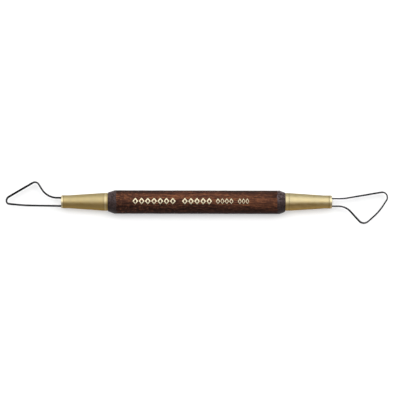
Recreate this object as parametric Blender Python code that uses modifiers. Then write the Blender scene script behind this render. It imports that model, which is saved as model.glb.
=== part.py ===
"""Double-ended ribbon tool for trimming and hollowing clay.

A turned hardwood handle has a tapered tenon at each end. A brass ferrule is pressed over each
tenon and grips the two legs of a steel ribbon, which is bent into a cutting loop. The tool lies
along X with both loops flat, parallel to the XY plane, and rests on z = 0.
"""

import math

import bpy
from mathutils import Matrix, Vector

MM = 0.001

# Driving dimensions
OVERALL_LENGTH = 203.2 * MM  # loop tip to loop tip, 8 inches
HANDLE_LENGTH = 94.0 * MM  # shoulder to shoulder
HANDLE_DIAMETER = 12.3 * MM
SHOULDER_DIAMETER = 9.8 * MM  # small end of both chamfers
CHAMFER_LENGTH = {"left": 3.6 * MM, "right": 2.9 * MM}  # turned by hand, so not quite equal
FERRULE_LENGTH = 24.5 * MM
FERRULE_SEAT_DIAMETER = 9.2 * MM
FERRULE_NOSE_DIAMETER = 6.7 * MM
FERRULE_WALL = 0.4 * MM
RIBBON_WIDTH = 2.2 * MM
RIBBON_THICKNESS = 0.6 * MM
LACQUER_THICKNESS = 0.3 * MM
FIT_GAP = 0.3 * MM  # left between pieces that touch
SIDES = 32  # facets round every turned piece, one of them facing down

# Handle
HANDLE_RADIUS = HANDLE_DIAMETER / 2
SHOULDER = HANDLE_LENGTH / 2
SHOULDER_RADIUS = SHOULDER_DIAMETER / 2
AXIS_HEIGHT = HANDLE_RADIUS * math.cos(math.pi / SIDES)  # the lowest facet lies on z = 0
LACQUER_LENGTH = 4.2 * MM
LACQUER_DEPTH = LACQUER_THICKNESS + FIT_GAP  # how far the wood is cut back under the lacquer

# Ferrule, measured from its seat on the shoulder
SEAT = SHOULDER + FIT_GAP
MOUTH = SEAT + FERRULE_LENGTH
SEAT_RADIUS = FERRULE_SEAT_DIAMETER / 2
NOSE_RADIUS = FERRULE_NOSE_DIAMETER / 2
COLLAR_LENGTH = 2.6 * MM
NOSE_LENGTH = 4.0 * MM
GROOVE_WIDTH = 0.24 * MM
GROOVE_DEPTH = 0.08 * MM
RIM_LENGTH = 1.5 * MM  # of the nose, between the mouth and the nose groove
RIM_ROUNDING = 0.3 * MM
SEAT_ROUNDING = 0.12 * MM
ROUNDING_STEPS = 4

# Tenon, ribbon legs and adhesive plug
TENON_ROOT_RADIUS = SEAT_RADIUS - FERRULE_WALL - FIT_GAP
TENON_TIP_RADIUS = NOSE_RADIUS - FERRULE_WALL - FIT_GAP
TENON_TIP_CHAMFER = 0.3 * MM
PLUG_RECESS = 0.3 * MM  # below the ferrule's mouth
PLUG_LENGTH = 2.4 * MM
TENON_END = MOUTH - PLUG_RECESS - PLUG_LENGTH - FIT_GAP
LEG_OFFSET = 2.1 * MM  # each leg's centre line, from the tool's axis
LEG_DEPTH = 18.0 * MM  # inside the ferrule
LEG_END = MOUTH - LEG_DEPTH
SLOT_FLOOR = LEG_OFFSET - RIBBON_THICKNESS / 2 - FIT_GAP
SLOT_HALF_WIDTH = RIBBON_WIDTH / 2 + FIT_GAP
SLOT_START = LEG_END - FIT_GAP
SLOT_OVERRUN = 1.0 * MM  # how far the slot cutters pass the mouth and the tenon's skin

# Loops. LOOP_REACH is the centre line's furthest point beyond the ferrule's mouth.
LOOP_REACH = OVERALL_LENGTH / 2 - MOUTH - RIBBON_THICKNESS / 2
ARC_STEP = math.radians(7)

# Each corner is (reach beyond the mouth, height across the tool, bend radius).
LEFT_LOOP = [
    (0.0, LEG_OFFSET, 30 * MM),
    (7.85 * MM, 2.35 * MM, 10 * MM),
    (13.3 * MM, 11.4 * MM, 2.35 * MM),
    (LOOP_REACH, 2.05 * MM, 2.2 * MM),
    (LOOP_REACH, -0.75 * MM, 1.35 * MM),
    (19.7 * MM, -1.75 * MM, 110 * MM),
    (0.0, -LEG_OFFSET, 60 * MM),
]
RIGHT_LOOP = [
    (6.2 * MM, 1.9 * MM, 25 * MM),
    (LOOP_REACH, 5.85 * MM, 2.9 * MM),
    (LOOP_REACH, 1.7 * MM, 2.4 * MM),
    (25.2 * MM, -5.0 * MM, 30 * MM),
    (16.8 * MM, -12.4 * MM, 3.4 * MM),
    (7.4 * MM, -2.1 * MM, 8.6 * MM),
]

# Which way each end points along X
ENDS = {"left": -1, "right": 1}


def clear_scene():
    for obj in list(bpy.data.objects):
        bpy.data.objects.remove(obj)


def new_collection(name):
    collection = bpy.data.collections.new(name)
    bpy.context.scene.collection.children.link(collection)
    return collection


def new_material(name, color, roughness, metallic=0.0):
    material = bpy.data.materials.new(name)
    material.use_nodes = True
    shader = material.node_tree.nodes["Principled BSDF"]
    shader.inputs["Base Color"].default_value = (*color, 1.0)
    shader.inputs["Roughness"].default_value = roughness
    shader.inputs["Metallic"].default_value = metallic
    material.diffuse_color = (*color, 1.0)
    return material


def add_object(name, data, material, collection):
    obj = bpy.data.objects.new(name, data)
    data.materials.append(material)
    collection.objects.link(obj)
    return obj


def point_along_x(obj, end, distance=0.0):
    """Lays local Z along X, outwards at that end, with the origin this far from the middle."""
    obj.location = (end * distance, 0.0, AXIS_HEIGHT)
    obj.rotation_euler = (0.0, end * math.pi / 2, 0.0)


def quarter_round(radius, height, rounding, towards):
    """Points over the outer edge of a rim at this height, from its end face to its side.

    towards is 1 where the rim's end face looks along +Z, and -1 where it looks along -Z.
    """
    angles = [i / ROUNDING_STEPS * math.pi / 2 for i in range(ROUNDING_STEPS + 1)]
    centre = height - towards * rounding
    return [
        (radius - rounding + rounding * math.sin(a), centre + towards * rounding * math.cos(a))
        for a in angles
    ]


def turned(name, profile, material, collection, ring=False):
    """A solid of revolution about local Z. The profile is (radius, height) points, down the
    outside from top to bottom. A ring's profile is a closed loop that goes back up its bore."""
    half_facet = math.pi / SIDES
    points = [(r * math.cos(half_facet), r * math.sin(half_facet), z) for r, z in profile]
    edges = [(i, i + 1) for i in range(len(points) - 1)]
    if ring:
        edges.append((len(points) - 1, 0))
    mesh = bpy.data.meshes.new(name)
    mesh.from_pydata(points, edges, [])
    obj = add_object(name, mesh, material, collection)
    screw = obj.modifiers.new("Turn", "SCREW")
    screw.steps = SIDES
    screw.render_steps = SIDES
    screw.use_merge_vertices = True
    screw.merge_threshold = 0.000001
    return obj


def half_handle_profile(label):
    """The wood from one tenon's end to the straight handle."""
    neck = HANDLE_RADIUS - LACQUER_DEPTH
    return [
        (0.0, TENON_END),
        (TENON_TIP_RADIUS - TENON_TIP_CHAMFER, TENON_END),
        (TENON_TIP_RADIUS, TENON_END - TENON_TIP_CHAMFER),
        (TENON_TIP_RADIUS, MOUTH - NOSE_LENGTH),
        (TENON_ROOT_RADIUS, SEAT + COLLAR_LENGTH),
        (TENON_ROOT_RADIUS, SHOULDER),
        (SHOULDER_RADIUS - LACQUER_DEPTH, SHOULDER),
        (neck, SHOULDER - CHAMFER_LENGTH[label]),
        (neck, SHOULDER - LACQUER_LENGTH - FIT_GAP),
        (HANDLE_RADIUS, SHOULDER - LACQUER_LENGTH - FIT_GAP),
    ]


def handle_profile():
    """The wood from the right tenon's end to the left one's."""
    left = half_handle_profile("left")
    return half_handle_profile("right") + [(r, -z) for r, z in reversed(left)]


def lacquer_profile(label):
    """The dipped end's skin, from the shoulder at z = 0 back onto the straight handle."""
    outside = [
        (SHOULDER_RADIUS, 0.0),
        (HANDLE_RADIUS, -CHAMFER_LENGTH[label]),
        (HANDLE_RADIUS, -LACQUER_LENGTH),
    ]
    return outside + [(r - LACQUER_THICKNESS, z) for r, z in reversed(outside)]


def ferrule_profile():
    """The tapered tube from its mouth, at the top, to its seat at z = 0."""
    nose = FERRULE_LENGTH - NOSE_LENGTH
    nose_groove = FERRULE_LENGTH - RIM_LENGTH
    outside = quarter_round(NOSE_RADIUS, FERRULE_LENGTH, RIM_ROUNDING, 1)
    outside += [
        (NOSE_RADIUS, nose_groove),
        (NOSE_RADIUS - GROOVE_DEPTH, nose_groove - GROOVE_WIDTH / 2),
        (NOSE_RADIUS, nose_groove - GROOVE_WIDTH),
        (NOSE_RADIUS, nose),
        (SEAT_RADIUS, COLLAR_LENGTH + GROOVE_WIDTH),
        (SEAT_RADIUS - GROOVE_DEPTH, COLLAR_LENGTH + GROOVE_WIDTH / 2),
        (SEAT_RADIUS, COLLAR_LENGTH),
    ]
    outside += reversed(quarter_round(SEAT_RADIUS, 0.0, SEAT_ROUNDING, -1))
    bore = [
        (SEAT_RADIUS - FERRULE_WALL, 0.0),
        (SEAT_RADIUS - FERRULE_WALL, COLLAR_LENGTH),
        (NOSE_RADIUS - FERRULE_WALL, nose),
        (NOSE_RADIUS - FERRULE_WALL, FERRULE_LENGTH),
    ]
    return outside + bore


def plug_profile():
    """The set adhesive behind the mouth, from its outer face to z = 0."""
    return [
        (0.0, PLUG_LENGTH),
        (TENON_TIP_RADIUS, PLUG_LENGTH),
        (TENON_TIP_RADIUS, 0.0),
        (0.0, 0.0),
    ]


def slot_cutter(name, end, side, collection):
    """A box that clears one ribbon leg's slot, through the tenon's skin and past the mouth."""
    low = Vector((SLOT_START, SLOT_FLOOR, -SLOT_HALF_WIDTH))
    high = Vector((MOUTH + SLOT_OVERRUN, SEAT_RADIUS + SLOT_OVERRUN, SLOT_HALF_WIDTH))
    centre = (low + high) / 2
    bpy.ops.mesh.primitive_cube_add(size=1.0)
    cutter = bpy.context.active_object
    cutter.name = name
    cutter.scale = high - low
    cutter.location = (end * centre.x, side * centre.y, AXIS_HEIGHT)
    cutter.hide_render = True
    cutter.display_type = "WIRE"
    for home in cutter.users_collection:
        home.objects.unlink(cutter)
    collection.objects.link(cutter)
    return cutter


def cut(obj, cutters):
    for cutter in cutters:
        boolean = obj.modifiers.new(cutter.name, "BOOLEAN")
        boolean.operation = "DIFFERENCE"
        boolean.solver = "EXACT"
        boolean.object = cutter


def apply_and_smooth(obj):
    """Makes the evaluated shape the object's own mesh, smooth where faces meet gently."""
    graph = bpy.context.evaluated_depsgraph_get()
    mesh = bpy.data.meshes.new_from_object(obj.evaluated_get(graph))
    mesh.shade_smooth()
    mesh.set_sharp_from_angle(angle=math.radians(20))
    obj.modifiers.clear()
    obj.data = mesh


def bend(before, corner, after, radius):
    """The points of an arc that rounds this corner of a route."""
    arriving = (corner - before).normalized()
    leaving = (after - corner).normalized()
    turn = -arriving.angle_signed(leaving)  # anticlockwise is positive
    start = corner - arriving * radius * math.tan(abs(turn) / 2)
    centre = start + Matrix.Rotation(math.copysign(math.pi / 2, turn), 2) @ arriving * radius
    steps = max(2, math.ceil(abs(turn) / ARC_STEP))
    spoke = start - centre
    return [centre + Matrix.Rotation(turn * i / steps, 2) @ spoke for i in range(steps + 1)]


def loop_route(corners, end):
    """The ribbon's centre line, from inside the ferrule round the loop and back inside."""
    bends = [(Vector((reach, height)), radius) for reach, height, radius in corners]
    stops = [Vector((-LEG_DEPTH, LEG_OFFSET))]
    stops += [corner for corner, _ in bends]
    stops.append(Vector((-LEG_DEPTH, -LEG_OFFSET)))
    route = [stops[0]]
    for i, (corner, radius) in enumerate(bends, start=1):
        route += bend(stops[i - 1], corner, stops[i + 1], radius)
    route.append(stops[-1])
    return [(end * (MOUTH + p.x), p.y) for p in route]


def ribbon(name, corners, end, material, collection):
    """A flat strip standing on edge along its route, its width upright."""
    route = loop_route(corners, end)
    curve = bpy.data.curves.new(name, "CURVE")
    curve.dimensions = "2D"
    curve.fill_mode = "NONE"
    curve.extrude = RIBBON_WIDTH / 2
    spline = curve.splines.new("POLY")
    spline.points.add(len(route) - 1)
    for point, (x, y) in zip(spline.points, route):
        point.co = (x, y, 0.0, 1.0)
    obj = add_object(name, curve, material, collection)
    obj.location.z = AXIS_HEIGHT
    thickness = obj.modifiers.new("Thickness", "SOLIDIFY")
    thickness.thickness = RIBBON_THICKNESS
    thickness.offset = 0.0
    thickness.use_even_offset = True
    return obj


def build_end(label, end, materials, tool, cutters):
    """Everything that the tool has at one end apart from the wood. Returns the slot cutters."""
    slots = [
        slot_cutter(f"{label}_slot_{place}", end, side, cutters)
        for place, side in (("upper", 1), ("lower", -1))
    ]
    skin = lacquer_profile(label)
    lacquer = turned(f"{label}_end_lacquer", skin, materials["lacquer"], tool, ring=True)
    point_along_x(lacquer, end, SHOULDER)
    ferrule = turned(f"{label}_ferrule", ferrule_profile(), materials["brass"], tool, ring=True)
    point_along_x(ferrule, end, SEAT)
    plug = turned(f"{label}_adhesive_plug", plug_profile(), materials["adhesive"], tool)
    point_along_x(plug, end, MOUTH - PLUG_RECESS - PLUG_LENGTH)
    cut(plug, slots)
    for piece in (lacquer, ferrule, plug):
        apply_and_smooth(piece)
    return slots


def main():
    clear_scene()
    tool = new_collection("clay_ribbon_tool")
    cutters = new_collection("cutters")
    materials = {
        "wood": new_material("stained_wood", (0.14, 0.055, 0.032), 0.45),
        "lacquer": new_material("black_lacquer", (0.028, 0.021, 0.022), 0.4),
        "brass": new_material("satin_brass", (0.58, 0.44, 0.19), 0.35, 1.0),
        "steel": new_material("blued_steel", (0.045, 0.045, 0.05), 0.35, 0.9),
        "adhesive": new_material("set_adhesive", (0.25, 0.16, 0.06), 0.3),
    }
    slots = []
    for label, end in ENDS.items():
        slots += build_end(label, end, materials, tool, cutters)
    ribbon("left_loop_ribbon", LEFT_LOOP, ENDS["left"], materials["steel"], tool)
    ribbon("right_loop_ribbon", RIGHT_LOOP, ENDS["right"], materials["steel"], tool)
    handle = turned("handle", handle_profile(), materials["wood"], tool)
    point_along_x(handle, ENDS["right"])
    cut(handle, slots)
    apply_and_smooth(handle)


main()
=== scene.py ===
"""The looks of a double-ended clay ribbon tool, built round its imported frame.

Every frame node is replaced by a finer piece in the same place: the wood handle with its relief,
the dipped lacquer, the turned brass ferrules, the bent ribbons with their eased edges and the
adhesive in the ferrules' mouths. A plain gold foil border is laid on the handle.
Lengths are in metres, and distances along the tool are counted from the handle's middle.
"""

import math

import bmesh
import bpy
import numpy as np
from mathutils import Matrix, Vector


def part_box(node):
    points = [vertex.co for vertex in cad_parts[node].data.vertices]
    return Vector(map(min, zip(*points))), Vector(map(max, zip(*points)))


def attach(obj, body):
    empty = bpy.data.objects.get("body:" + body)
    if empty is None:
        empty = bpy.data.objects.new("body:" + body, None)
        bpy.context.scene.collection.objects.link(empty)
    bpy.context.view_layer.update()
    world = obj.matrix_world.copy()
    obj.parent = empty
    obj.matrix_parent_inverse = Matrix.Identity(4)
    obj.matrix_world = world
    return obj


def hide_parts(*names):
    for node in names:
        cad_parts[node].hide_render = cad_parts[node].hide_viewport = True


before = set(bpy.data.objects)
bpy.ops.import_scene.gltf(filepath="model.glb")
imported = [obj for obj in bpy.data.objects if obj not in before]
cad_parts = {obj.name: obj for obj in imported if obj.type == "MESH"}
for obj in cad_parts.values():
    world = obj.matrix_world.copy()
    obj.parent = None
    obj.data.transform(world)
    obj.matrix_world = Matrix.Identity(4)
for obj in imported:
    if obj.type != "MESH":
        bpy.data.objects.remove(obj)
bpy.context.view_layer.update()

MM = 0.001

# The tool's axis, from the frame
handle_low, handle_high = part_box("handle")
AXIS_HEIGHT = (handle_low.z + handle_high.z) / 2
RESTING_RADIUS = AXIS_HEIGHT - handle_low.z
TENON_END = handle_high.x

# Wood handle
LACQUER_PROUD = 0.03 * MM  # how far the lacquer stands out past the wood
WOOD_RADIUS = RESTING_RADIUS - LACQUER_PROUD
OVAL = 0.02  # how much wider across Y than tall the turned wood is
SHOULDER_RADIUS = 5.0 * MM
SHOULDER_ROUNDING = 0.3 * MM
CHAMFER_LENGTH = {"left": 3.6 * MM, "right": 2.9 * MM}
CREST_ROUNDING = 1.0 * MM  # where a chamfer meets the straight handle
TENON_ROOT_RADIUS = 3.9 * MM
TENON_TIP_RADIUS = 2.65 * MM
TENON_TIP_CHAMFER = 0.3 * MM
FIBRE_RELIEF = 0.006 * MM
FIBRE_SPACING = 0.5 * MM
FIBRE_STRETCH = (0.06, 1.0, 1.0)
TURNING_RELIEF = 0.008 * MM
TURNING_SPACING = 9 * MM
TURNING_STRETCH = (1.0, 0.1, 0.1)
RELIEF_SINK = 1.5 * TURNING_RELIEF  # lowers the surface, so that few crests pass the wood's radius
BARE_OVERLAP = 0.5 * MM  # how far the bare wood's surface runs on under the lacquer
WOOD_STEP = 0.45 * MM
WOOD_SEGMENTS = 224

# Lacquer
LACQUER_FILM = 0.09 * MM
LACQUER_CREEP = {"left": 0.45 * MM, "right": 0.0}  # how far the dip runs past the CAD's edge
LACQUER_EDGE_WAVE = 0.22 * MM
LACQUER_EDGE_ROUNDING = 0.06 * MM
LACQUER_INNER_ROUNDING = 0.2 * MM  # on the film's inner side, at the shoulder
LACQUER_BRUSHING = 0.012 * MM
LACQUER_STEP = 0.22 * MM
LACQUER_SEGMENTS = 192

# Ferrules, with distances counted from the shoulder or from the mouth
SEAT_RADIUS = 4.68 * MM
NOSE_RADIUS = 3.44 * MM
FERRULE_WALL = 0.4 * MM
COLLAR_LENGTH = {"left": 2.2 * MM, "right": 1.85 * MM}
NOSE_LENGTH = 4.0 * MM
RIM_LENGTH = {"left": 1.0 * MM, "right": 1.45 * MM}
GROOVE_WIDTH = 0.3 * MM
GROOVE_DEPTH = 0.06 * MM
BEAD_HEIGHT = 0.035 * MM
GROOVE_ROUNDING = 0.06 * MM
COLLAR_ROUNDING = 6 * MM
NOSE_ROUNDING = 12 * MM
RIM_ROUNDING = 3 * MM
RIM_CREST = 0.45  # how far along the rim it is widest, as a share of the rim's length
SEAT_ROUNDING = 0.12 * MM
LIP_ROUNDING = 0.18 * MM
BORE_ROUNDING = 0.12 * MM
FERRULE_OFFSET = {"left": 0.06 * MM, "right": 0.24 * MM}  # towards +Y, as they were pressed on
FERRULE_WOBBLE = 0.006 * MM
FERRULE_STEP = 0.2 * MM
FERRULE_SEGMENTS = 160

# How worn and shaded the ferrules are, from 0, not at all, to 1: tarnish and polish are wear, the polish
# also paints the highlights on the rim and collar, and the shoulder, groove and bore values are painted
# shade.
TARNISH = {"left": 0.9, "right": 0.1}
RIM_POLISH_AND_HIGHLIGHT = {"left": 1.0, "right": 0.55}
COLLAR_POLISH_AND_HIGHLIGHT = {"left": 0.45, "right": 0.05}
SHOULDER_PAINTED_SHADE = {"left": 1.0, "right": 0.3}
GROOVE_PAINTED_SHADE = {"left": 0.4, "right": 0.8}
BORE_PAINTED_SHADE = 0.6
POLISHED_HIGHLIT_RIM = 0.95 * MM  # from the mouth
POLISH_HIGHLIGHT_SPREAD = 0.45 * MM
PAINTED_SHADE_SPREAD = 0.2 * MM

# Ribbons
RIBBON_WIDTH = 2.2 * MM
RIBBON_THICKNESS = 0.66 * MM
LEG_OFFSET = 2.1 * MM
RIBBON_STEP = 0.3 * MM
# Each corner is (reach beyond the mouth, height across the tool, bend radius, tilt in degrees).
LEFT_REACH = 29.25 * MM
LEFT_LOOP = [
    (0.0, 2.15 * MM, 30 * MM, 13),
    (7.7 * MM, 2.24 * MM, 9.5 * MM, 8),
    (11.7 * MM, 8.63 * MM, 0, 2),
    (13.35 * MM, 11.23 * MM, 2.35 * MM, 9),
    (15.7 * MM, 9.85 * MM, 0, 17.5),
    (LEFT_REACH, 1.89 * MM, 2.5 * MM, 18),
    (LEFT_REACH, -1.02 * MM, 1.45 * MM, 13),
    (19.7 * MM, -1.93 * MM, 110 * MM, 12),
    (0.0, -2.20 * MM, 60 * MM, 12),
]
RIGHT_REACH = 29.55 * MM
RIGHT_LOOP = [
    (6.2 * MM, 2.01 * MM, 25 * MM, 3),
    (14.0 * MM, 3.34 * MM, 0, 7),
    (RIGHT_REACH, 5.99 * MM, 2.7 * MM, 8),
    (RIGHT_REACH, 1.84 * MM, 2.4 * MM, 10),
    (25.25 * MM, -4.86 * MM, 30 * MM, 12),
    (16.85 * MM, -12.28 * MM, 3.4 * MM, 10),
    (7.4 * MM, -1.99 * MM, 8.6 * MM, 6),
]

# Adhesive
MENISCUS_HEIGHT = 0.35 * MM
MENISCUS_SPREAD = 0.35 * MM
WALL_CLIMB = 0.7  # how high it climbs the ferrule's wall, as a share of its height at a leg
PLUG_SAG = 0.05 * MM
PLUG_GAP = 0.02 * MM
PLUG_SEGMENTS = 72
PLUG_RINGS = 26

# Foil border, laid along the handle a little above its centre line
FOIL_CENTRE = 0.53 * MM
# Each run is (start, end, lozenges, half height, stroke).
FOIL_RUNS = [
    (-34.0 * MM, -10.9 * MM, 7, 1.78 * MM, 0.66 * MM),
    (-7.8 * MM, 8.3 * MM, 5, 1.78 * MM, 0.66 * MM),
    (10.1 * MM, 19.5 * MM, 4, 1.55 * MM, 0.33 * MM),
    (21.8 * MM, 27.8 * MM, 3, 1.55 * MM, 0.26 * MM),
]
LOZENGE_SHARE = 0.44  # half a lozenge's width, as a share of the run's pitch
LOZENGE_MARGIN = 0.03 * MM  # added outside each lozenge
LOZENGE_POINT = 0.08 * MM  # cut off each lozenge's upper and lower points
LOZENGE_GAP = 0.015 * MM  # from the lozenge's middle to either of its patches, at the least
FOIL_LIFT = 0.014 * MM
FOIL_DEPTH = 0.03 * MM
FOIL_STEPS = 14

# Camera and light
FRAME_WIDTH = 212.55 * MM
AIM = Vector((1.8 * MM, 1.13 * MM, AXIS_HEIGHT))
LENS = 150.0
SENSOR = 36.0
ROLL = 0.13  # degrees
LIGHT_DISTANCE = 1.4


def reach(node):
    """How far the node's nearest and furthest points are from the handle's middle, along X."""
    low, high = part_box(node)
    return sorted((abs(low.x), abs(high.x)))


class End:
    """One end of the tool and its places along X, read from the frame."""

    def __init__(self, label, sign, loop):
        self.label = label
        self.sign = sign
        self.loop = loop
        self.lacquer_edge, self.shoulder = reach(f"{label}_end_lacquer")
        self.lacquer_edge -= LACQUER_CREEP[label]
        self.mouth = reach(f"{label}_ferrule")[1]
        self.plug_back, self.plug_face = reach(f"{label}_adhesive_plug")
        self.leg_end, self.tip = reach(f"{label}_loop_ribbon")


ENDS = [End("left", -1, LEFT_LOOP), End("right", 1, RIGHT_LOOP)]


# Geometry helpers


def ripple(points, wavelength, seed, waves=28):
    """Smooth noise of about unit height: many seeded waves of about one length, summed."""
    rng = np.random.default_rng(seed)
    directions = rng.normal(size=(waves, 3))
    directions /= np.linalg.norm(directions, axis=1)[:, None]
    numbers = 2 * math.pi / wavelength * rng.uniform(0.6, 1.5, waves)
    phases = rng.uniform(0, 2 * math.pi, waves)
    return np.sin(points @ (directions * numbers[:, None]).T + phases).sum(1) / math.sqrt(waves / 2)


def oval(angle):
    """How much the turned wood's radius grows towards its +Y and -Y sides."""
    return 1 + OVAL * np.cos(angle) ** 2


def on_axis(along, radius, angle):
    """Points round the tool's axis. The angle is counted from +Y towards +Z."""
    return np.column_stack([along, radius * np.cos(angle), AXIS_HEIGHT + radius * np.sin(angle)])


def bend(before, corner, after, radius, step):
    """The points of an arc that rounds this corner of a path."""
    arriving = (corner - before).normalized()
    leaving = (after - corner).normalized()
    turn = -arriving.angle_signed(leaving)  # anticlockwise is positive
    if radius == 0 or abs(turn) < 0.001:
        return [corner]
    start = corner - arriving * radius * math.tan(abs(turn) / 2)
    centre = start + Matrix.Rotation(math.copysign(math.pi / 2, turn), 2) @ arriving * radius
    steps = max(4, math.ceil(abs(turn) * radius / step))
    spoke = start - centre
    return [centre + Matrix.Rotation(turn * i / steps, 2) @ spoke for i in range(steps + 1)]


def rounded_path(corners, step):
    """A path of 2D points through (x, y, bend radius) corners, at most step apart."""
    stops = [Vector(corner[:2]) for corner in corners]
    turned = [stops[0]]
    for i in range(1, len(stops) - 1):
        turned += bend(stops[i - 1], stops[i], stops[i + 1], corners[i][2], step)
    turned.append(stops[-1])
    path = [turned[0]]
    for point in turned[1:]:
        parts = max(1, math.ceil((point - path[-1]).length / step))
        start = path[-1]
        path += [start.lerp(point, i / parts) for i in range(1, parts + 1)]
    return np.array(path)


def rings_of_faces(rings, segments, closed):
    """Quads between neighbouring rings of points. closed joins the last ring to the first."""
    faces = []
    for i in range(rings if closed else rings - 1):
        here, there = i * segments, (i + 1) % rings * segments
        for j in range(segments):
            k = (j + 1) % segments
            faces.append((here + j, here + k, there + k, there + j))
    if not closed:
        faces.append(tuple(range(segments)))
        faces.append(tuple(range((rings - 1) * segments, rings * segments)))
    return faces


def add_piece(name, points, faces, material, sharp=35):
    """A shown piece that rides on the frame, shaded smooth up to the sharp angle."""
    mesh = bpy.data.meshes.new(name)
    mesh.from_pydata([tuple(p) for p in points], [], faces)
    build = bmesh.new()
    build.from_mesh(mesh)
    bmesh.ops.recalc_face_normals(build, faces=build.faces)
    build.to_mesh(mesh)
    build.free()
    mesh.materials.append(material)
    mesh.shade_smooth()
    mesh.set_sharp_from_angle(angle=math.radians(sharp))
    piece = bpy.data.objects.new(name, mesh)
    bpy.context.scene.collection.objects.link(piece)
    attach(piece, "root")
    return piece


def lathe(name, profile, segments, material, shape, closed=False):
    """A turned piece. profile is rows of (distance along X, radius). shape takes the distances,
    radii and angles of all its points, and returns the distances and radii that they end at."""
    along = np.repeat(profile[:, 0], segments)
    radius = np.repeat(profile[:, 1], segments)
    angle = np.tile(np.arange(segments) * 2 * math.pi / segments, len(profile))
    along, radius = shape(along, radius, angle)
    faces = rings_of_faces(len(profile), segments, closed)
    return add_piece(name, on_axis(along, radius, angle), faces, material)


def point_values(piece, name, values):
    """Stores one number for each point, for a material to read."""
    attribute = piece.data.attributes.new(name, "FLOAT", "POINT")
    attribute.data.foreach_set("value", np.asarray(values, np.float32))


# Materials


class Tree:
    """Short calls for the nodes of one material. Coordinates are in millimetres."""

    def __init__(self, name):
        self.material = bpy.data.materials.new(name)
        self.material.use_nodes = True
        self.nodes = self.material.node_tree.nodes
        self.links = self.material.node_tree.links
        self.shader = self.nodes["Principled BSDF"]
        self.place = self.nodes.new("ShaderNodeTexCoord").outputs["Object"]

    def give(self, socket, value):
        """Sets a socket to a number or colour, or links an output to it."""
        if isinstance(value, bpy.types.NodeSocket):
            self.links.new(value, socket)
        elif hasattr(value, "__len__") and len(value) == 3 and len(socket.default_value) == 4:
            socket.default_value = (*value, 1.0)
        else:
            socket.default_value = value

    def surface(self, **values):
        """Sets inputs of the Principled shader, with _ for a space."""
        for name, value in values.items():
            self.give(self.shader.inputs[name.replace("_", " ")], value)

    def noise(self, per_mm, detail=2.0, roughness=0.5, distortion=0.0):
        """Noise with this many features per millimetre along X, Y and Z."""
        mapping = self.nodes.new("ShaderNodeMapping")
        mapping.inputs["Scale"].default_value = [n / MM for n in per_mm]
        self.links.new(self.place, mapping.inputs["Vector"])
        node = self.nodes.new("ShaderNodeTexNoise")
        node.inputs["Scale"].default_value = 1.0
        node.inputs["Detail"].default_value = detail
        node.inputs["Roughness"].default_value = roughness
        node.inputs["Distortion"].default_value = distortion
        self.links.new(mapping.outputs["Vector"], node.inputs["Vector"])
        return node.outputs["Fac"]

    def coordinate(self, axis):
        """The place along one of the object's axes, in metres."""
        node = self.nodes.new("ShaderNodeSeparateXYZ")
        self.links.new(self.place, node.inputs["Vector"])
        return node.outputs[axis]

    def values(self, name):
        """The numbers that point_values stored."""
        node = self.nodes.new("ShaderNodeAttribute")
        node.attribute_name = name
        return node.outputs["Fac"]

    def maths(self, operation, a, b=0.0, c=0.0):
        """A sum of numbers or outputs. MULTIPLY_ADD is a times b plus c."""
        node = self.nodes.new("ShaderNodeMath")
        node.operation = operation
        for socket, value in zip(node.inputs, (a, b, c)):
            self.give(socket, value)
        return node.outputs["Value"]

    def between(self, value, low, high, start=0.0, end=1.0):
        """Runs smoothly from start to end as the value goes from low to high."""
        node = self.nodes.new("ShaderNodeMapRange")
        node.interpolation_type = "SMOOTHSTEP"
        for name, number in (("From Min", low), ("From Max", high), ("To Min", start), ("To Max", end)):
            node.inputs[name].default_value = number
        self.give(node.inputs["Value"], value)
        return node.outputs["Result"]

    def ramp(self, value, *stops):
        """A colour ramp through (position, colour) stops."""
        node = self.nodes.new("ShaderNodeValToRGB")
        elements = node.color_ramp.elements
        while len(elements) < len(stops):
            elements.new(0.5)
        for element, (position, colour) in zip(elements, stops):
            element.position = position
            element.color = (*colour, 1.0)
        self.give(node.inputs["Fac"], value)
        return node.outputs["Color"]

    def mix(self, share, a, b, blend="MIX"):
        """Colour a turning into colour b as the share goes from 0 to 1."""
        node = self.nodes.new("ShaderNodeMix")
        node.data_type = "RGBA"
        node.blend_type = blend
        self.give(node.inputs["Factor"], share)
        self.give(node.inputs[6], a)
        self.give(node.inputs[7], b)
        return node.outputs[2]

    def relief(self, *layers):
        """Bumps of (height from 0 to 1, depth in metres), one over the other."""
        normal = None
        for height, depth in layers:
            node = self.nodes.new("ShaderNodeBump")
            node.inputs["Distance"].default_value = depth
            self.give(node.inputs["Height"], height)
            if normal:
                self.give(node.inputs["Normal"], normal)
            normal = node.outputs["Normal"]
        self.give(self.shader.inputs["Normal"], normal)


def wood_layers(tree):
    """Flecks, fibres and open pores of a fine dark hardwood, with the grain along X."""
    mottle = tree.noise((0.42, 2.1, 2.1), detail=3, roughness=0.7, distortion=0.15)
    flecks = tree.between(mottle, 0.38, 0.62)
    fibres = tree.noise((0.16, 2.6, 2.6), detail=4, roughness=0.65)
    pores = tree.between(tree.noise((0.5, 6.5, 6.5), detail=1), 0.60, 0.70)
    return flecks, fibres, pores


def growth_and_painted_light(tree):
    """How pale the wood is, from 0 to 1: a layer of growth that wanders along the +Y side, and also
    painted light, paler towards +Y, where the light falls, and darker towards -Y.
    """
    wander = tree.noise((0.035, 0.5, 0.5), detail=3, roughness=0.55, distortion=0.4)
    slant = tree.maths("MULTIPLY_ADD", tree.coordinate("X"), 0.05, tree.coordinate("Y"))
    across = tree.maths("MULTIPLY_ADD", wander, 7 * MM, slant)
    rise = tree.between(across, -1.2 * MM, 6.8 * MM)
    fall = tree.between(across, 7.0 * MM, 9.2 * MM, 1.0, 0.15)
    return tree.maths("MULTIPLY", rise, fall)


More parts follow.
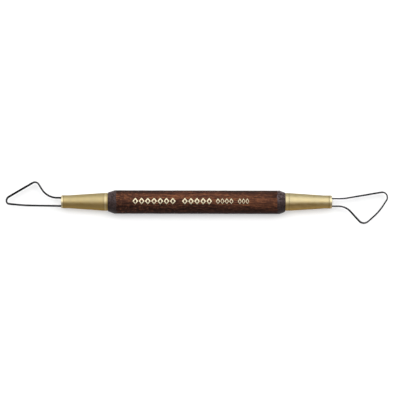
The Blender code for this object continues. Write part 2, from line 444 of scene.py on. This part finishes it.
def stained_wood():
    """Reddish brown wood with a paler growth layer, long streaks and a curl across the grain. The growth
    layer is partly painted light, paler towards +Y where the light falls, and painted shade darkens both
    sides of the tool, and the left half's +Y side most of all."""
    tree = Tree("stained_wood")
    flecks, fibres, pores = wood_layers(tree)
    streaks = tree.between(tree.noise((0.05, 1.0, 1.0), detail=4, roughness=0.6), 0.38, 0.62)
    curl = tree.between(tree.noise((0.85, 0.35, 0.35), detail=2, distortion=0.8), 0.44, 0.62)
    curl = tree.maths("MULTIPLY", curl, flecks)
    bands = tree.between(tree.noise((0.13, 1.35, 1.35), detail=2, distortion=0.3), 0.38, 0.62)
    curled = tree.between(tree.coordinate("X"), -30 * MM, 5 * MM, 0.24, 0.10)
    detail = tree.maths("MULTIPLY", flecks, 0.22)
    detail = tree.maths("MULTIPLY_ADD", tree.between(fibres, 0.36, 0.64), 0.16, detail)
    detail = tree.maths("MULTIPLY_ADD", bands, 0.08, detail)
    detail = tree.maths("MULTIPLY_ADD", curl, curled, detail)
    detail = tree.maths("SUBTRACT", detail, 0.25)
    contrast = tree.between(tree.coordinate("Y"), -5 * MM, 1 * MM, 1.35, 1.1)
    figure = tree.maths("MULTIPLY_ADD", detail, contrast, 0.22)
    figure = tree.maths("MULTIPLY_ADD", growth_and_painted_light(tree), 0.36, figure)
    figure = tree.maths("MULTIPLY_ADD", streaks, 0.14, figure)
    # Painted shade: darker along the +Y side, strongest on the left half.
    side = tree.between(tree.coordinate("Y"), 3.6 * MM, 4.7 * MM)
    painted_edge_shade = tree.between(tree.coordinate("X"), -38 * MM, 12 * MM, -0.38, 0.0)
    figure = tree.maths("MULTIPLY_ADD", side, painted_edge_shade, figure)
    stain = tree.ramp(
        figure,
        (0.12, (0.013, 0.0056, 0.0043)),
        (0.36, (0.038, 0.0148, 0.0094)),
        (0.60, (0.080, 0.0298, 0.0165)),
        (0.92, (0.184, 0.0685, 0.0305)),
    )
    from_middle = tree.maths("ABSOLUTE", tree.coordinate("Y"))
    # Painted shade: darker on both sides of the handle. The pores are the wood's own.
    sides = tree.between(from_middle, 4.7 * MM, 6.2 * MM, 0.0, 0.85)
    pores_and_painted_shade = tree.maths("MULTIPLY", tree.maths("MAXIMUM", pores, sides), 0.75)
    tree.surface(
        Base_Color=tree.mix(pores_and_painted_shade, stain, (0.009, 0.0045, 0.0036)),
        Roughness=tree.between(fibres, 0.3, 0.7, 0.50, 0.68),
        Specular_IOR_Level=0.04,
    )
    tree.relief((fibres, 0.03 * MM), (tree.maths("SUBTRACT", 1.0, pores), 0.03 * MM))
    return tree.material


def dipped_lacquer():
    """A thin black dip, with a greyish bloom in patches, kept to its +Y side as painted light, where the
    light falls.
    """
    tree = Tree("dipped_lacquer")
    flecks, fibres, _ = wood_layers(tree)
    drag = tree.noise((1.4, 1.4, 1.4), detail=3)
    patches = tree.between(tree.noise((0.85, 0.85, 0.85), detail=3, roughness=0.65), 0.44, 0.58)
    bloomed = tree.between(tree.coordinate("X"), -40 * MM, 40 * MM, 0.9, 1.7)
    patches = tree.maths("MULTIPLY", patches, bloomed)
    # Painted light: the bloom lies only towards +Y, where the light falls.
    bloom_and_painted_light = tree.maths("MULTIPLY", patches, tree.between(tree.coordinate("Y"), -2 * MM, 3 * MM))
    body = tree.ramp(
        tree.maths("MULTIPLY_ADD", flecks, 0.3, tree.maths("MULTIPLY", drag, 0.7)),
        (0.30, (0.014, 0.0085, 0.0078)),
        (0.50, (0.026, 0.0160, 0.0150)),
        (0.70, (0.044, 0.0280, 0.0270)),
    )
    tree.surface(
        Base_Color=tree.mix(tree.maths("MULTIPLY", bloom_and_painted_light, 0.7), body, (0.078, 0.054, 0.056)),
        Roughness=tree.between(drag, 0.35, 0.65, 0.42, 0.58),
        Specular_IOR_Level=0.1,
    )
    tree.relief((fibres, 0.012 * MM), (drag, 0.02 * MM))
    return tree.material


def turned_brass():
    """Brass turned to a satin finish and tarnished in clouds, with painted light: paler towards +Y,
    where the light falls, and warmer towards -Y, in the shade. Its rims are worn bright with a painted
    highlight, and painted shade darkens its grooves, shoulder and bore."""
    tree = Tree("turned_brass")
    tool_marks = tree.noise((14.0, 0.12, 0.12), detail=3, roughness=0.7)
    clouds = tree.noise((0.35, 0.5, 0.5), detail=4, roughness=0.6)
    polish_and_highlight = tree.values("polish_and_highlight")
    painted_hollow_shade = tree.values("painted_hollow_shade")
    tarnish = tree.values("tarnish")
    # Painted light: the brass is paler towards +Y, where the light falls, and warmer towards -Y, in the
    # shade.
    across = tree.maths("MULTIPLY_ADD", clouds, 2 * MM, tree.coordinate("Y"))
    lit_side_share = tree.between(across, -0.9 * MM, 2.2 * MM)
    shaded_side_brass = tree.ramp(clouds, (0.34, (0.335, 0.222, 0.082)), (0.66, (0.415, 0.283, 0.115)))
    lit_side_brass = tree.ramp(clouds, (0.34, (0.365, 0.306, 0.170)), (0.66, (0.440, 0.378, 0.228)))
    body = tree.mix(lit_side_share, shaded_side_brass, lit_side_brass)
    body = tree.mix(tree.maths("MULTIPLY", tarnish, 0.4), body, (0.27, 0.195, 0.066))
    # The polish's pale colour is worn brass and also a painted highlight on the rim and collar.
    body = tree.mix(tree.maths("MULTIPLY", polish_and_highlight, 0.6), body, (0.68, 0.61, 0.43))
    roughness = tree.maths("MULTIPLY_ADD", tarnish, 0.08, tree.between(clouds, 0.35, 0.65, 0.48, 0.58))
    tree.surface(
        # Painted shade: darker in the grooves, at the shoulder and in the bore.
        Base_Color=tree.mix(tree.maths("MULTIPLY", painted_hollow_shade, 0.5), body, (0.08, 0.055, 0.024)),
        Metallic=1.0,
        Roughness=tree.maths("MULTIPLY_ADD", polish_and_highlight, -0.10, roughness),
        Specular_Tint=(0.34, 0.27, 0.16),
    )
    tree.relief((tool_marks, 0.0022 * MM), (clouds, 0.004 * MM))
    return tree.material


def blued_steel():
    """Dark oxide in patches, scratched along the strip and worn to grey on its long edges."""
    tree = Tree("blued_steel")
    patches = tree.noise((0.9, 0.9, 0.9), detail=4, roughness=0.6)
    scratches = tree.noise((3.0, 3.0, 11.0), detail=3, roughness=0.65)
    wear = tree.maths("MULTIPLY", tree.values("edge"), tree.between(scratches, 0.50, 0.66))
    oxide = tree.ramp(
        patches,
        (0.34, (0.012, 0.012, 0.014)),
        (0.5, (0.019, 0.018, 0.020)),
        (0.66, (0.040, 0.037, 0.037)),
    )
    tree.surface(
        Base_Color=tree.mix(tree.maths("MULTIPLY", wear, 0.35), oxide, (0.11, 0.11, 0.115)),
        Metallic=1.0,
        Roughness=tree.between(scratches, 0.3, 0.7, 0.30, 0.50),
        Specular_Tint=(0.12, 0.12, 0.13),
    )
    tree.relief((scratches, 0.006 * MM))
    return tree.material


def set_adhesive():
    """Cloudy amber with a glossy skin."""
    tree = Tree("set_adhesive")
    cloud = tree.noise((1.6, 1.6, 1.6), detail=3)
    tree.surface(
        Base_Color=tree.ramp(cloud, (0.35, (0.16, 0.095, 0.035)), (0.65, (0.34, 0.22, 0.09))),
        Roughness=tree.between(cloud, 0.3, 0.7, 0.14, 0.28),
        Coat_Weight=0.4,
        Coat_Roughness=0.08,
    )
    tree.relief((cloud, 0.02 * MM))
    return tree.material


def gold_foil():
    """Hot-pressed foil that has not taken everywhere, with the stained wood in the gaps."""
    tree = Tree("gold_foil")
    grain = tree.noise((0.5, 5.0, 5.0), detail=3, roughness=0.6)
    speckle = tree.noise((3.0, 4.5, 4.5), detail=2)
    bare = tree.between(tree.maths("ADD", grain, tree.maths("MULTIPLY", speckle, 0.6)), 0.90, 0.98)
    gold = tree.ramp(speckle, (0.35, (0.34, 0.30, 0.19)), (0.65, (0.54, 0.475, 0.34)))
    tree.surface(
        Base_Color=tree.mix(bare, gold, (0.06, 0.022, 0.013)),
        Metallic=tree.maths("MULTIPLY_ADD", bare, -0.8, 0.8),
        Roughness=tree.between(grain, 0.3, 0.7, 0.38, 0.52),
    )
    tree.relief((grain, 0.012 * MM))
    return tree.material


def floor_paper():
    tree = Tree("floor_paper")
    tooth = tree.noise((0.6, 0.6, 0.6), detail=3)
    tree.surface(
        Base_Color=(0.9, 0.9, 0.9),
        Roughness=0.9,
        Specular_IOR_Level=0.1,
    )
    tree.relief((tooth, 0.01 * MM))
    return tree.material


# Pieces


def wood_relief(along, angle):
    """How far the wood's surface stands out at these places: long fibres and turning waves."""
    points = on_axis(along, np.full(len(along), WOOD_RADIUS), angle)
    fibres = ripple(points * FIBRE_STRETCH, FIBRE_SPACING, seed=3)
    turning = ripple(points * TURNING_STRETCH, TURNING_SPACING, seed=5)
    return FIBRE_RELIEF * fibres + TURNING_RELIEF * turning - RELIEF_SINK


def wood_handle(material):
    """The whole piece of wood, from one tenon's end to the other's."""
    corners = []
    for end in ENDS:
        crest = end.shoulder - CHAMFER_LENGTH[end.label]
        half = [
            (TENON_END, TENON_TIP_RADIUS - TENON_TIP_CHAMFER, 0),
            (TENON_END - TENON_TIP_CHAMFER, TENON_TIP_RADIUS, 0),
            (end.mouth - NOSE_LENGTH, TENON_TIP_RADIUS, 0),
            (end.shoulder + COLLAR_LENGTH[end.label], TENON_ROOT_RADIUS, 0),
            (end.shoulder - LACQUER_FILM, TENON_ROOT_RADIUS, 0),
            (end.shoulder - LACQUER_FILM, SHOULDER_RADIUS - LACQUER_FILM, SHOULDER_ROUNDING),
            (crest, WOOD_RADIUS - LACQUER_FILM / 2, CREST_ROUNDING),
            (end.lacquer_edge, WOOD_RADIUS - LACQUER_FILM / 2, 0),
        ]
        half = [(end.sign * distance, radius, rounding) for distance, radius, rounding in half]
        corners += half if end.sign < 0 else reversed(half)
    profile = rounded_path(corners, WOOD_STEP)
    first_edge, last_edge = (end.sign * end.lacquer_edge for end in ENDS)

    def shape(along, radius, angle):
        bare = (along >= first_edge - BARE_OVERLAP) & (along <= last_edge + BARE_OVERLAP)
        relief = np.where(bare, wood_relief(along, angle), 0.0)
        rise = np.where(bare, WOOD_RADIUS - radius, 0.0)
        return along, (radius + rise) * oval(angle) + relief

    piece = lathe("wood_handle", profile, WOOD_SEGMENTS, material, shape)
    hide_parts("handle")


def lacquer_dip(end, material):
    """The dried dip: a closed skin over the shoulder and chamfer, with a wavy edge."""
    crest = end.shoulder - CHAMFER_LENGTH[end.label]
    edge = end.lacquer_edge
    seat = SEAT_RADIUS - FERRULE_WALL
    film = LACQUER_FILM
    outer = RESTING_RADIUS
    corners = [
        (end.shoulder - film, seat, 0),
        (end.shoulder, seat, 0),
        (end.shoulder, SHOULDER_RADIUS, SHOULDER_ROUNDING),
        (crest, outer, 1.1 * CREST_ROUNDING),
        (edge, outer, LACQUER_EDGE_ROUNDING),
        (edge - LACQUER_EDGE_ROUNDING, WOOD_RADIUS - film, 0),
        (crest, outer - film, CREST_ROUNDING),
        (end.shoulder - film, SHOULDER_RADIUS - film, LACQUER_INNER_ROUNDING),
        (end.shoulder - film, seat, 0),
    ]
    profile = rounded_path(corners, LACQUER_STEP)[:-1]

    def shape(along, radius, angle):
        points = on_axis(np.zeros(len(angle)), np.full(len(angle), outer), angle)
        wave = ripple(points, 7 * MM, seed=11 + end.sign) + 0.5 * ripple(points, 2.4 * MM, seed=17)
        share = np.clip((crest - along) / (crest - edge), 0, 1.2)
        along = along + share * wave * LACQUER_EDGE_WAVE
        on_band = radius > outer - film / 2
        brushing = ripple(on_axis(along, radius, angle), 1.6 * MM, seed=23) * on_band
        return along * end.sign, radius * oval(angle) + LACQUER_BRUSHING * brushing

    name = f"{end.label}_lacquer_dip"
    piece = lathe(name, profile, LACQUER_SEGMENTS, material, shape, closed=True)
    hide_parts(f"{end.label}_end_lacquer")


def ferrule(end, material):
    """A tapered tube with a beaded collar and a beaded rim, each set off by a fine groove."""
    shoulder, mouth = end.shoulder, end.mouth
    collar_length, rim_length = COLLAR_LENGTH[end.label], RIM_LENGTH[end.label]
    collar = shoulder + collar_length
    rim = mouth - rim_length
    nose = mouth - NOSE_LENGTH
    corners = [
        (shoulder, SEAT_RADIUS - FERRULE_WALL, 0),
        (shoulder, SEAT_RADIUS - BEAD_HEIGHT, SEAT_ROUNDING),
        (shoulder + collar_length / 2, SEAT_RADIUS + BEAD_HEIGHT, COLLAR_ROUNDING),
        (collar, SEAT_RADIUS - BEAD_HEIGHT, GROOVE_ROUNDING),
        (collar + GROOVE_WIDTH / 2, SEAT_RADIUS - GROOVE_DEPTH, GROOVE_ROUNDING),
        (collar + GROOVE_WIDTH, SEAT_RADIUS, GROOVE_ROUNDING),
        (nose, NOSE_RADIUS, NOSE_ROUNDING),
        (rim - GROOVE_WIDTH, NOSE_RADIUS, GROOVE_ROUNDING),
        (rim - GROOVE_WIDTH / 2, NOSE_RADIUS - GROOVE_DEPTH, GROOVE_ROUNDING),
        (rim, NOSE_RADIUS, GROOVE_ROUNDING),
        (rim + RIM_CREST * rim_length, NOSE_RADIUS + BEAD_HEIGHT, RIM_ROUNDING),
        (mouth, NOSE_RADIUS - BEAD_HEIGHT, LIP_ROUNDING),
        (mouth, NOSE_RADIUS - FERRULE_WALL, BORE_ROUNDING),
        (nose, NOSE_RADIUS - FERRULE_WALL, 0),
        (collar, SEAT_RADIUS - FERRULE_WALL, 0),
        (shoulder, SEAT_RADIUS - FERRULE_WALL, 0),
    ]
    profile = rounded_path(corners, FERRULE_STEP)[:-1]

    def shape(along, radius, angle):
        wobble = ripple(on_axis(along, radius, angle) * (1.0, 0.15, 0.15), 1.7 * MM, seed=31)
        past_bore = radius > NOSE_RADIUS - FERRULE_WALL / 2
        return along * end.sign, radius + FERRULE_WOBBLE * wobble * past_bore

    name = f"{end.label}_turned_ferrule"
    piece = lathe(name, profile, FERRULE_SEGMENTS, material, shape, closed=True)
    piece.data.transform(Matrix.Translation((0, FERRULE_OFFSET[end.label], 0)))
    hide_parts(f"{end.label}_ferrule")
    age_ferrule(piece, end, profile)


def age_ferrule(piece, end, profile):
    """Stores where this ferrule is polished, with a painted highlight, where painted shade darkens it,
    and how tarnished it is, for turned_brass to read.
    """
    collar_length = COLLAR_LENGTH[end.label]
    along = np.repeat(profile[:, 0], FERRULE_SEGMENTS)
    radius = np.repeat(profile[:, 1], FERRULE_SEGMENTS)
    in_bore = radius < NOSE_RADIUS - FERRULE_WALL * 0.6

    def near(place, spread):
        return np.exp(-(((along - place) / spread) ** 2))

    # Polished rim and collar, whose paler colour is also a painted highlight.
    polished_highlit_from = end.mouth - POLISHED_HIGHLIT_RIM
    at_rim = np.clip((along - polished_highlit_from) / (0.3 * MM), 0, RIM_POLISH_AND_HIGHLIGHT[end.label])
    at_collar = near(end.shoulder + 0.6 * collar_length, POLISH_HIGHLIGHT_SPREAD)
    polish_and_highlight = np.maximum(at_rim, COLLAR_POLISH_AND_HIGHLIGHT[end.label] * at_collar)
    # Painted shade in the grooves and at the shoulder, and in the bore below.
    collar_groove = end.shoulder + collar_length + GROOVE_WIDTH / 2
    rim_groove = end.mouth - RIM_LENGTH[end.label] - GROOVE_WIDTH / 2
    in_grooves = near(collar_groove, PAINTED_SHADE_SPREAD) + near(rim_groove, PAINTED_SHADE_SPREAD)
    at_shoulder = near(end.shoulder, PAINTED_SHADE_SPREAD)
    painted_hollow_shade = GROOVE_PAINTED_SHADE[end.label] * in_grooves + SHOULDER_PAINTED_SHADE[end.label] * at_shoulder
    point_values(piece, "polish_and_highlight", np.where(in_bore, 0, polish_and_highlight))
    point_values(piece, "painted_hollow_shade", np.where(in_bore, BORE_PAINTED_SHADE, np.clip(painted_hollow_shade, 0, 1)))
    point_values(piece, "tarnish", np.full(len(along), TARNISH[end.label]))


def ribbon_section():
    """Round the strip: (across its thickness, across its width, how near a long edge)."""
    half = RIBBON_THICKNESS / 2
    tall = RIBBON_WIDTH / 2
    side = [
        (half * 0.3, tall, 1.0),
        (half * 0.7, tall - 0.03 * MM, 1.0),
        (half * 0.95, tall - 0.12 * MM, 0.9),
        (half, tall - 0.28 * MM, 0.3),
        (half, tall - 0.6 * MM, 0.0),
        (half, 0.0, 0.0),
    ]
    right = side + [(n, -b, e) for n, b, e in reversed(side[:-1])]
    return np.array(right + [(-n, -b, e) for n, b, e in right])


def loop_ribbon(end, material):
    """A strip on edge, bent round its corners and leaning as they say, with both legs."""
    inside = end.leg_end - end.mouth
    corners = [(inside, LEG_OFFSET, 0, 0), *end.loop, (inside, -LEG_OFFSET, 0, 0)]
    path = rounded_path(corners, RIBBON_STEP)
    steps = np.linalg.norm(np.diff(path, axis=0), axis=1)
    length = np.concatenate([[0], np.cumsum(steps)])
    nearest = [np.argmin(np.linalg.norm(path - corner[:2], axis=1)) for corner in corners]
    tilt = np.radians(np.interp(length, length[nearest], [corner[3] for corner in corners]))
    heading = np.gradient(path, axis=0)
    heading /= np.linalg.norm(heading, axis=1)[:, None]
    section = ribbon_section()
    points = []
    for (x, y), (dx, dy), lean in zip(path, heading, tilt):
        across = section[:, 0] * math.cos(lean) - section[:, 1] * math.sin(lean)
        up = section[:, 0] * math.sin(lean) + section[:, 1] * math.cos(lean)
        along = end.sign * (end.mouth + x - dy * across)
        points.append(np.column_stack([along, y + dx * across, AXIS_HEIGHT + up]))
    faces = rings_of_faces(len(path), len(section), closed=False)
    name = f"{end.label}_bent_ribbon"
    piece = add_piece(name, np.concatenate(points), faces, material, sharp=30)
    point_values(piece, "edge", np.tile(section[:, 2], len(path)))
    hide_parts(f"{end.label}_loop_ribbon")


def adhesive_plug(end, material):
    """A cast disc whose outer face climbs the ribbon's legs and the ferrule's wall."""
    radius = NOSE_RADIUS - FERRULE_WALL - PLUG_GAP
    level = end.plug_face - MENISCUS_HEIGHT
    angle = np.arange(PLUG_SEGMENTS) * 2 * math.pi / PLUG_SEGMENTS

    def ring(share):
        """Y and Z, from the axis, round a circle of this share of the radius."""
        return FERRULE_OFFSET[end.label] + radius * share * np.cos(angle), radius * share * np.sin(angle)

    def face(y, z, share):
        """How far along X the outer face is at these places."""
        past_side = np.maximum(np.abs(np.abs(y) - LEG_OFFSET) - RIBBON_THICKNESS / 2, 0.0)
        past_edge = np.maximum(np.abs(z) - RIBBON_WIDTH / 2, 0.0)
        at_leg = np.exp(-np.hypot(past_side, past_edge) / MENISCUS_SPREAD)
        at_wall = WALL_CLIMB * np.exp(-radius * (1 - share) / MENISCUS_SPREAD)
        sag = PLUG_SAG * ripple(np.column_stack([y * 0, y, z]), 2.5 * MM, seed=41)
        return level + MENISCUS_HEIGHT * np.maximum(at_leg, at_wall) + sag

    y, z = ring(1.0)
    rings = [(np.full(PLUG_SEGMENTS, end.plug_back), y, z)]
    for share in np.linspace(1.0, 0.02, PLUG_RINGS):
        y, z = ring(share)
        rings.append((face(y, z, share), y, z))
    points = [np.column_stack([end.sign * along, y, AXIS_HEIGHT + z]) for along, y, z in rings]
    faces = rings_of_faces(len(points), PLUG_SEGMENTS, closed=False)
    name = f"{end.label}_adhesive_fill"
    piece = add_piece(name, np.concatenate(points), faces, material, sharp=60)
    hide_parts(f"{end.label}_adhesive_plug")


def foil_patch(centre, half_height, left, right):
    """A patch of foil bent onto the handle. left and right give its edges along X at each
    height across. Returns its points and faces."""
    points = []
    for height in np.linspace(-half_height, half_height, FOIL_STEPS + 1):
        sides = np.array([centre + left(height), centre + right(height)])
        angle = np.full(2, math.pi / 2 - (FOIL_CENTRE + height) / WOOD_RADIUS)
        surface = WOOD_RADIUS * oval(angle) + wood_relief(sides, angle)
        top = on_axis(sides, surface + FOIL_LIFT, angle)
        bottom = on_axis(sides, surface - FOIL_DEPTH, angle)
        points += [top[0], top[1], bottom[1], bottom[0]]
    return points, rings_of_faces(FOIL_STEPS + 1, 4, closed=False)


def lozenge(centre, half_width, half_height, stroke):
    """A hollow lozenge as a left and a right patch that meet at its points."""
    def outline(height):
        return half_width * (1 - abs(height) / half_height)

    def inner(height):
        return max(outline(height) - stroke, LOZENGE_GAP)

    point = half_height - LOZENGE_POINT
    return [
        foil_patch(centre, point, lambda h: -outline(h) - LOZENGE_MARGIN, lambda h: -inner(h)),
        foil_patch(centre, point, inner, lambda h: outline(h) + LOZENGE_MARGIN),
    ]


def foil_border(material):
    """A plain geometric border: four runs of evenly spaced hollow lozenges."""
    points, faces = [], []
    for first, last, count, half_height, stroke in FOIL_RUNS:
        pitch = (last - first) / count
        half_width = LOZENGE_SHARE * pitch
        for i in range(count):
            centre = first + (i + 0.5) * pitch
            for patch_points, patch_faces in lozenge(centre, half_width, half_height, stroke):
                start = len(points)
                points += patch_points
                faces += [tuple(start + corner for corner in face) for face in patch_faces]
    add_piece("foil_border", points, faces, material, sharp=30)


# Stage


def soft_box(name, tilt, size, power, shadow=True):
    """A soft box that faces the tool, tilted this many degrees from overhead towards +Y."""
    light = bpy.data.lights.new(name, "AREA")
    light.shape = "RECTANGLE"
    light.size, light.size_y = size
    light.energy = power
    light.use_shadow = shadow
    lamp = bpy.data.objects.new(name, light)
    lean = Matrix.Rotation(math.radians(-tilt), 4, "X")
    lamp.matrix_world = lean @ Matrix.Translation((0, 0, LIGHT_DISTANCE))
    bpy.context.scene.collection.objects.link(lamp)


def stage():
    """The pale floor, the soft boxes and the camera, which looks straight down."""
    bpy.ops.mesh.primitive_grid_add(x_subdivisions=8, y_subdivisions=8, size=4.0)
    floor = bpy.context.active_object
    floor.name = "floor"
    floor.data.materials.append(floor_paper())

    world = bpy.data.worlds.new("studio")
    bpy.context.scene.world = world
    world.use_nodes = True
    background = world.node_tree.nodes["Background"]
    background.inputs["Color"].default_value = (0.95, 0.97, 1.0, 1.0)
    background.inputs["Strength"].default_value = 0.13
    soft_box("overhead_box", tilt=12, size=(1.7, 0.66), power=14.7)
    soft_box("key_box", tilt=50, size=(2.2, 1.3), power=25.7, shadow=False)
    soft_box("fill_box", tilt=-66, size=(2.2, 0.9), power=3.4, shadow=False)

    camera = bpy.data.cameras.new("camera")
    camera.lens = LENS
    camera.sensor_width = SENSOR
    camera_object = bpy.data.objects.new("camera", camera)
    camera_object.location = AIM + Vector((0, 0, FRAME_WIDTH * LENS / SENSOR))
    camera_object.rotation_euler = (0, 0, math.radians(ROLL))
    bpy.context.scene.collection.objects.link(camera_object)
    bpy.context.scene.camera = camera_object
    bpy.context.scene.view_settings.view_transform = "Standard"


def main():
    wood_handle(stained_wood())
    lacquer, brass, steel, adhesive = dipped_lacquer(), turned_brass(), blued_steel(), set_adhesive()
    for end in ENDS:
        lacquer_dip(end, lacquer)
        ferrule(end, brass)
        loop_ribbon(end, steel)
        adhesive_plug(end, adhesive)
    foil_border(gold_foil())
    stage()


main()
